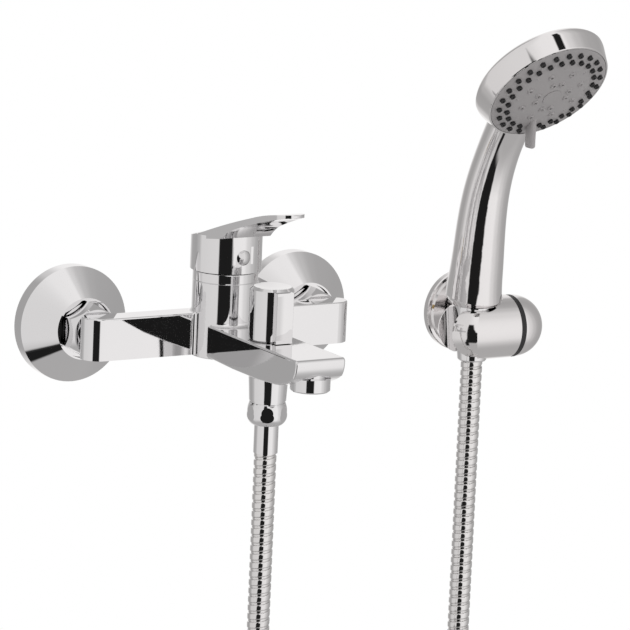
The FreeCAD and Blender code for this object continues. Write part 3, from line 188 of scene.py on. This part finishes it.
def metal(name, first, second, rough_low, rough_high, wave_scale, wave_height):
    material, tree, shader = new_material(name)
    shader.inputs["Metallic"].default_value = 1.0
    film = add_noise(tree, 14, 4)
    tint(tree, film, first, second, shader.inputs["Base Color"])
    smear = add_noise(tree, 60, 5, (1, 1, 0.3))
    vary(tree, smear, rough_low, rough_high, shader.inputs["Roughness"])
    wave = add_noise(tree, wave_scale, 1)
    bump(tree, shader, wave, wave_height)
    return material


def plastic(name, first, second, rough_low, rough_high, grain_scale, grain_height):
    material, tree, shader = new_material(name)
    patches = add_noise(tree, 30, 4)
    tint(tree, patches, first, second, shader.inputs["Base Color"])
    vary(tree, patches, rough_low, rough_high, shader.inputs["Roughness"])
    grain = add_noise(tree, grain_scale, 3)
    bump(tree, shader, grain, grain_height)
    return material


def make_materials():
    return {
        "chrome": metal(
            "chrome", (0.80, 0.80, 0.81), (0.84, 0.83, 0.83), 0.02, 0.05, 40, 0.00002),
        "chromed_plastic": metal(
            "chromed_plastic", (0.80, 0.79, 0.79), (0.84, 0.82, 0.82), 0.03, 0.07, 45, 0.00003),
        "hose_metal": metal(
            "hose_metal", (0.76, 0.75, 0.75), (0.82, 0.81, 0.80), 0.06, 0.12, 90, 0.00002),
        "brass": metal(
            "brass", (0.62, 0.44, 0.18), (0.70, 0.52, 0.24), 0.22, 0.38, 300, 0.00003),
        "steel": metal(
            "steel", (0.50, 0.50, 0.51), (0.60, 0.60, 0.61), 0.2, 0.35, 400, 0.00002),
        "rubber": plastic(
            "rubber", (0.012, 0.012, 0.014), (0.03, 0.029, 0.03), 0.45, 0.6, 900, 0.00004),
        "white_plastic": plastic(
            "white_plastic", (0.72, 0.72, 0.70), (0.8, 0.8, 0.78), 0.35, 0.5, 600, 0.00002),
        "grey_plastic": plastic(
            "grey_plastic", (0.44, 0.425, 0.43), (0.51, 0.495, 0.495), 0.34, 0.42, 1200, 0.00002),
        "ceramic": plastic(
            "ceramic", (0.78, 0.78, 0.75), (0.86, 0.86, 0.83), 0.1, 0.16, 500, 0.00001),
        "plug_plastic": metal(
            "plug_plastic", (0.66, 0.66, 0.67), (0.74, 0.73, 0.73), 0.04, 0.08, 45, 0.00002),
    }


materials = make_materials()


def dress_nodes():
    """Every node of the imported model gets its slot's material."""
    for subpart in frame["record"]["subparts"]:
        thing = nodes[subpart["node"]]
        for slot in thing.material_slots:
            slot.material = materials[subpart["material_slot"]]


# Camera and studio


def make_camera():
    yaw = math.radians(camera_yaw_deg)
    pitch = math.radians(camera_pitch_deg)
    roll = math.radians(camera_roll_deg)
    level = Vector((math.cos(yaw), -math.sin(yaw), 0))
    ahead = Vector((math.sin(yaw), math.cos(yaw), 0)) * math.cos(pitch) - Vector((0, 0, math.sin(pitch)))
    upright = level.cross(ahead)
    right = level * math.cos(roll) + upright * math.sin(roll)
    up = upright * math.cos(roll) - level * math.sin(roll)
    data = bpy.data.cameras.new("camera")
    data.sensor_width = 36
    data.lens = camera_lens_mm
    data.clip_end = 50
    camera = bpy.data.objects.new("camera", data)
    turn = Matrix((right, up, -ahead)).transposed()
    camera.matrix_world = Matrix.Translation(camera_place) @ turn.to_4x4()
    bpy.context.collection.objects.link(camera)
    bpy.context.scene.camera = camera


def smooth_step(tree, value, start, end):
    node = tree.nodes.new("ShaderNodeMapRange")
    node.interpolation_type = "SMOOTHSTEP"
    node.inputs["From Min"].default_value = start
    node.inputs["From Max"].default_value = end
    tree.links.new(value, node.inputs["Value"])
    return node.outputs["Result"]


def math_node(tree, operation, first, second=None):
    node = tree.nodes.new("ShaderNodeMath")
    node.operation = operation
    for socket, value in zip(node.inputs, (first, second)):
        if value is None:
            continue
        if isinstance(value, (int, float)):
            socket.default_value = value
        else:
            tree.links.new(value, socket)
    return node.outputs[0]


# The studio as polished metal reflects it. Brightness of the walls by bearing from +X in degrees
wall_light = [
    (0, 0.45),
    (22, 0.42),
    (42, 0.46),
    (54, 0.92),
    (68, 0.98),
    (84, 0.7),
    (102, 0.44),
    (126, 0.42),
    (142, 0.52),
    (156, 0.76),
    (212, 0.80),
    (250, 0.95),
    (300, 0.97),
    (316, 0.78),
    (336, 0.60),
    (352, 0.48),
]
floor_light = 0.47
dark_light = 0.014
# The dark opening round the camera: its left and right edges by height, in degrees
dark_left = [
    (-50, 206),
    (-40, 212),
    (-30, 217),
    (0, 218),
    (16, 219),
    (34, 221),
]
dark_right = [
    (-50, 250),
    (-40, 259),
    (-26, 262),
    (-12, 262),
    (-7, 257),
    (-3, 252),
    (5, 246),
    (16, 241),
    (34, 239),
]
dark_bottom = -49
dark_top = 33
# Half the width over which each edge of the opening fades, in degrees
soft_left = 2
soft_right = 3
soft_top = 3
soft_bottom = 4
soft_thing = 2
# Heights between which the floor's light turns into the walls'
walls_from = -58
walls_full = -28
reflected_colour = (1, 0.985, 0.98, 1)
# Smaller dark things in the studio: bearing from and to, height from and to, in degrees
dark_things = [
    (206, 222, -61, -46),
    (160, 170, 25, 35),
    (281, 300, 36, 62),
]


def ramp(tree, value, stops, low, high):
    """A value looked up between stops by an angle in degrees; it lies between low and high."""
    node = tree.nodes.new("ShaderNodeValToRGB")
    node.color_ramp.interpolation = "EASE"
    first = stops[0][0]
    last = stops[-1][0]
    while len(node.color_ramp.elements) < len(stops):
        node.color_ramp.elements.new(0.5)
    for element, (place, level) in zip(node.color_ramp.elements, stops):
        element.position = (place - first) / (last - first)
        shade = (level - low) / (high - low)
        element.color = (shade, shade, shade, 1)
    spread = tree.nodes.new("ShaderNodeMapRange")
    spread.inputs["From Min"].default_value = first
    spread.inputs["From Max"].default_value = last
    tree.links.new(value, spread.inputs["Value"])
    tree.links.new(spread.outputs["Result"], node.inputs["Fac"])
    risen = math_node(tree, "MULTIPLY", node.outputs["Color"], high - low)
    return math_node(tree, "ADD", low, risen)


def make_world():
    """White walls with a dark opening round the camera, as the metal reflects them.

    Seen directly they are plain white.
    """
    world = bpy.data.worlds.new("studio")
    world.use_nodes = True
    tree = world.node_tree
    tree.nodes.clear()
    coords = tree.nodes.new("ShaderNodeTexCoord")
    parts = tree.nodes.new("ShaderNodeSeparateXYZ")
    tree.links.new(coords.outputs["Generated"], parts.inputs[0])
    x, y, z = parts.outputs
    degrees = 180 / math.pi
    turned = math_node(tree, "MULTIPLY", math_node(tree, "ARCTAN2", y, x), degrees)
    bearing = math_node(tree, "FLOORED_MODULO", turned, 360)
    height = math_node(tree, "MULTIPLY", math_node(tree, "ARCSINE", z), degrees)
    walls = ramp(tree, bearing, wall_light + [(360, wall_light[0][1])], 0, 1)
    above = smooth_step(tree, height, walls_from, walls_full)
    lift = math_node(tree, "MULTIPLY", above, math_node(tree, "SUBTRACT", walls, floor_light))
    light = math_node(tree, "ADD", floor_light, lift)
    past_right = math_node(tree, "SUBTRACT", bearing, ramp(tree, height, dark_right, 230, 270))
    right = smooth_step(tree, past_right, -soft_right, soft_right)
    past_left = math_node(tree, "SUBTRACT", bearing, ramp(tree, height, dark_left, 200, 230))
    left = math_node(tree, "SUBTRACT", 1, smooth_step(tree, past_left, -soft_left, soft_left))
    over = smooth_step(tree, height, dark_top - soft_top, dark_top + soft_top)
    raised = smooth_step(tree, height, dark_bottom - soft_bottom, dark_bottom + soft_bottom)
    under = math_node(tree, "SUBTRACT", 1, raised)
    clear = math_node(tree, "MAXIMUM", math_node(tree, "MAXIMUM", left, right),
                      math_node(tree, "MAXIMUM", over, under))
    for west, east, low, high in dark_things:
        within = smooth_step(tree, bearing, west - soft_thing, west + soft_thing)
        beyond = smooth_step(tree, bearing, east - soft_thing, east + soft_thing)
        raised = smooth_step(tree, height, low - soft_thing, low + soft_thing)
        past = smooth_step(tree, height, high - soft_thing, high + soft_thing)
        across = math_node(tree, "SUBTRACT", within, beyond)
        upward = math_node(tree, "SUBTRACT", raised, past)
        open_part = math_node(tree, "SUBTRACT", 1, math_node(tree, "MULTIPLY", across, upward))
        clear = math_node(tree, "MULTIPLY", clear, open_part)
    lit = math_node(tree, "MULTIPLY", clear, math_node(tree, "SUBTRACT", light, dark_light))
    reflected = tree.nodes.new("ShaderNodeBackground")
    tree.links.new(math_node(tree, "ADD", dark_light, lit), reflected.inputs["Strength"])
    reflected.inputs["Color"].default_value = reflected_colour
    plain = tree.nodes.new("ShaderNodeBackground")
    plain.inputs["Color"].default_value = (1, 1, 1, 1)
    path = tree.nodes.new("ShaderNodeLightPath")
    mix = tree.nodes.new("ShaderNodeMixShader")
    output = tree.nodes.new("ShaderNodeOutputWorld")
    tree.links.new(path.outputs["Is Camera Ray"], mix.inputs[0])
    tree.links.new(reflected.outputs[0], mix.inputs[1])
    tree.links.new(plain.outputs[0], mix.inputs[2])
    tree.links.new(mix.outputs[0], output.inputs["Surface"])
    bpy.context.scene.world = world


floor_half = 6.0
floor_gap = 0.002


def make_floor():
    mesh = bpy.data.meshes.new("floor")
    height = cad_box[0][2] - floor_gap
    signs = [(-1, -1), (1, -1), (1, 1), (-1, 1)]
    corners = [(floor_half * x, floor_half * y, height) for x, y in signs]
    mesh.from_pydata(corners, [], [(0, 1, 2, 3)])
    floor = bpy.data.objects.new("floor", mesh)
    bpy.context.collection.objects.link(floor)
    material = bpy.data.materials.new("floor")
    material.use_nodes = True
    tree = material.node_tree
    tree.nodes.clear()
    white = tree.nodes.new("ShaderNodeEmission")
    white.inputs["Color"].default_value = (1, 1, 1, 1)
    clear = tree.nodes.new("ShaderNodeBsdfTransparent")
    path = tree.nodes.new("ShaderNodeLightPath")
    mix = tree.nodes.new("ShaderNodeMixShader")
    output = tree.nodes.new("ShaderNodeOutputMaterial")
    tree.links.new(path.outputs["Is Camera Ray"], mix.inputs[0])
    tree.links.new(clear.outputs[0], mix.inputs[1])
    tree.links.new(white.outputs[0], mix.inputs[2])
    tree.links.new(mix.outputs[0], output.inputs["Surface"])
    mesh.materials.append(material)


# Face


def face_spot(radius, angle_deg, height):
    """A point over the domed face: radius and angle in the face, height above the dome."""
    down = math.radians(face_down_deg)
    out = Vector((0, -math.cos(down), -math.sin(down)))
    low = Vector((0, math.sin(down), -math.cos(down)))
    ball_r = (face_r ** 2 + face_crown ** 2) / (2 * face_crown)
    level = ball_r - face_crown - math.sqrt(ball_r ** 2 - radius ** 2)
    a = math.radians(angle_deg)
    across = Vector((radius * math.cos(a), 0, 0))
    socket = Vector((shower_x, socket_y, 0))
    point = Vector((shower_x, face_y, face_z)) + across
    point += low * (radius * math.sin(a)) + out * (height - level)
    return Matrix.Rotation(math.radians(shower_turn_deg), 3, "Z") @ (point - socket) + socket


def raised_ring(verts, faces, radius, angle_deg, section):
    """A low round rim on the face: a closed section turned round a spot."""
    first = len(verts)
    across = len(section)
    a = math.radians(angle_deg)
    x0 = radius * math.cos(a)
    y0 = radius * math.sin(a)
    for i in range(rim_segments):
        turn = 2 * math.pi * i / rim_segments
        for reach, height in section:
            x = x0 + reach * math.cos(turn)
            y = y0 + reach * math.sin(turn)
            verts.append(face_spot(math.hypot(x, y), math.degrees(math.atan2(y, x)), height))
    for i in range(rim_segments):
        for j in range(across):
            after = (i + 1) % rim_segments
            beside = (j + 1) % across
            corners = ((i, j), (i, beside), (after, beside), (after, j))
            faces.append(tuple(first + c * across + d for c, d in corners))


def make_face_rims():
    """The small nozzles' rims and the shallow marks between them."""
    verts = []
    faces = []
    for radius, angles in nozzle_rings:
        for angle in angles:
            raised_ring(verts, faces, radius, angle, nozzle_section)
    for angle in mark_angles:
        raised_ring(verts, faces, mark_ring, angle, mark_section)
    mesh = bpy.data.meshes.new("face_rims")
    mesh.from_pydata(verts, [], faces)
    mesh.polygons.foreach_set("use_smooth", [True] * len(mesh.polygons))
    mesh.materials.append(materials["grey_plastic"])
    thing = bpy.data.objects.new("face_rims", mesh)
    bpy.context.collection.objects.link(thing)
    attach(thing, "spray_face")


# Hose


coil_first = 180 + coil_slant_deg
coil_last = coil_first + 360 * coil_turns + 180 - 2 * coil_slant_deg


def coil_point(angle_deg, radius):
    a = math.radians(angle_deg)
    y = coil_y + coil_pitch * (angle_deg - (coil_first + coil_last) / 2) / 360
    return (coil_x + radius * math.cos(a), y, coil_z + radius * math.sin(a))


def hose_points():
    """The route's points from the mixer to the hand shower, with the put-away coil between."""
    span = coil_last - coil_first
    steps = round(span / coil_step_deg)
    wider = coil_r / math.cos(math.radians(coil_step_deg / 2))
    turns = [coil_point(coil_first + span * k / steps, wider) for k in range(steps + 1)]
    start = [
        (0, diverter_y, ferrule_end),
        (0, diverter_y, mixer_bend + mixer_straight),
        (0, diverter_y, mixer_bend),
        (0, *mixer_lean),
    ]
    end = [
        (shower_x, *shower_lean),
        (shower_x, socket_y, shower_bend),
        (shower_x, socket_y, shower_bend + shower_straight),
        (shower_x, socket_y, cone_end),
    ]
    return start + turns + end


def spline_line(points):
    """Points read from a smooth curve that has the given control points."""
    data = bpy.data.curves.new("route", "CURVE")
    data.dimensions = "3D"
    data.resolution_u = 16
    spline = data.splines.new("NURBS")
    spline.points.add(len(points) - 1)
    for point, place in zip(spline.points, points):
        point.co = (*place, 1)
    spline.order_u = 3
    spline.use_endpoint_u = True
    thing = bpy.data.objects.new("route", data)
    bpy.context.collection.objects.link(thing)
    mesh = bpy.data.meshes.new_from_object(thing)
    line = [v.co.copy() for v in mesh.vertices]
    bpy.data.objects.remove(thing)
    bpy.data.meshes.remove(mesh)
    return line


class Path:
    """A line with its lengths and an untwisted frame at any distance along it."""

    def __init__(self, line):
        self.line = line
        self.marks = [0.0]
        for a, b in zip(line, line[1:]):
            self.marks.append(self.marks[-1] + (b - a).length)
        self.length = self.marks[-1]
        self.ways = []
        for k in range(len(line)):
            before = line[max(k - 1, 0)]
            after = line[min(k + 1, len(line) - 1)]
            self.ways.append((after - before).normalized())
        side = Vector((1, 0, 0))
        self.sides = []
        for way in self.ways:
            side = (side - way * side.dot(way)).normalized()
            self.sides.append(side)

    def at(self, distance):
        distance = min(max(distance, 0.0), self.length)
        low = 0
        high = len(self.marks) - 1
        while high - low > 1:
            middle = (low + high) // 2
            if self.marks[middle] <= distance:
                low = middle
            else:
                high = middle
        share = (distance - self.marks[low]) / max(self.marks[high] - self.marks[low], 1e-9)
        point = self.line[low].lerp(self.line[high], share)
        way = self.ways[low].lerp(self.ways[high], share).normalized()
        side = self.sides[low].lerp(self.sides[high], share)
        side = (side - way * side.dot(way)).normalized()
        return point, way, side

    def distance_where(self, height):
        """Distance at which the last run passes a height."""
        for k in range(len(self.line) - 1, 0, -1):
            if self.line[k - 1].z <= height <= self.line[k].z:
                share = (height - self.line[k - 1].z) / (self.line[k].z - self.line[k - 1].z)
                return self.marks[k - 1] + share * (self.marks[k] - self.marks[k - 1])
        return self.length


# The strip's section over one pitch: share of the pitch, radius in metres
strip_section = [
    (0.00, 0.00575),
    (0.03, 0.00605),
    (0.19, 0.00608),
    (0.22, 0.00578),
    (0.26, 0.00580),
    (0.285, 0.00635),
    (0.33, 0.00655),
    (0.45, 0.00660),
    (0.85, 0.00660),
    (0.95, 0.00652),
    (0.985, 0.00630),
]


def hose_stretch(name, path, first_turn, last_turn):
    """The wound strip between two whole turns of its winding."""
    rings = len(strip_section)
    verts = []
    count = (last_turn - first_turn) * rings
    for i in range(count + rings + 1):
        share, radius = strip_section[i % rings]
        turn = first_turn + i // rings
        for j in range(hose_segments):
            distance = hose_pitch * (turn - 1 + share + j / hose_segments)
            point, way, side = path.at(distance)
            other = way.cross(side)
            a = 2 * math.pi * j / hose_segments
            verts.append(point + (side * math.cos(a) + other * math.sin(a)) * radius)
    faces = []
    for i in range(count):
        for j in range(hose_segments):
            a = i * hose_segments + j
            d = (i + 1) * hose_segments + j
            if j < hose_segments - 1:
                b = a + 1
                c = d + 1
            else:
                b = (i + rings) * hose_segments
                c = (i + 1 + rings) * hose_segments
            faces.append((a, b, c, d))
    mesh = bpy.data.meshes.new(name)
    mesh.from_pydata(verts, [], faces)
    mesh.polygons.foreach_set("use_smooth", [True] * len(mesh.polygons))
    mesh.set_sharp_from_angle(angle=math.radians(crease_deg))
    mesh.materials.append(materials["hose_metal"])
    thing = bpy.data.objects.new(name, mesh)
    bpy.context.collection.objects.link(thing)
    return thing


line_step = 0.004


def line_between(path, start, end):
    count = max(int((end - start) / line_step), 8)
    return [tuple(path.at(start + (end - start) * k / count)[0]) for k in range(count + 1)]


def make_hose():
    path = Path(spline_line(hose_points()))
    turns = int(path.length / hose_pitch)
    to_lower = round(path.distance_where(lower_stretch_top) / hose_pitch)
    to_upper = round(path.distance_where(upper_stretch_start) / hose_pitch)
    cuts = [0, to_lower, to_upper, turns + 1]
    names = ["hose_lower", "hose_middle", "hose_upper"]
    stretches = []
    for name, first, last in zip(names, cuts, cuts[1:]):
        thing = hose_stretch(name, path, first, last)
        start = max(first * hose_pitch, 0)
        end = min(last * hose_pitch, path.length)
        stretches.append((thing, line_between(path, start, end), end - start))
    lower, middle, upper = [s[0] for s in stretches]
    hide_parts("hose_run_mixer", "hose_coil")
    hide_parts("hose_run_shower")
    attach(lower, "mixer")
    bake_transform(middle)
    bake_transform(upper)


make_camera()
make_world()
make_floor()
dress_nodes()
make_face_rims()
make_hose()

scene = bpy.context.scene
scene.view_settings.view_transform = "Standard"
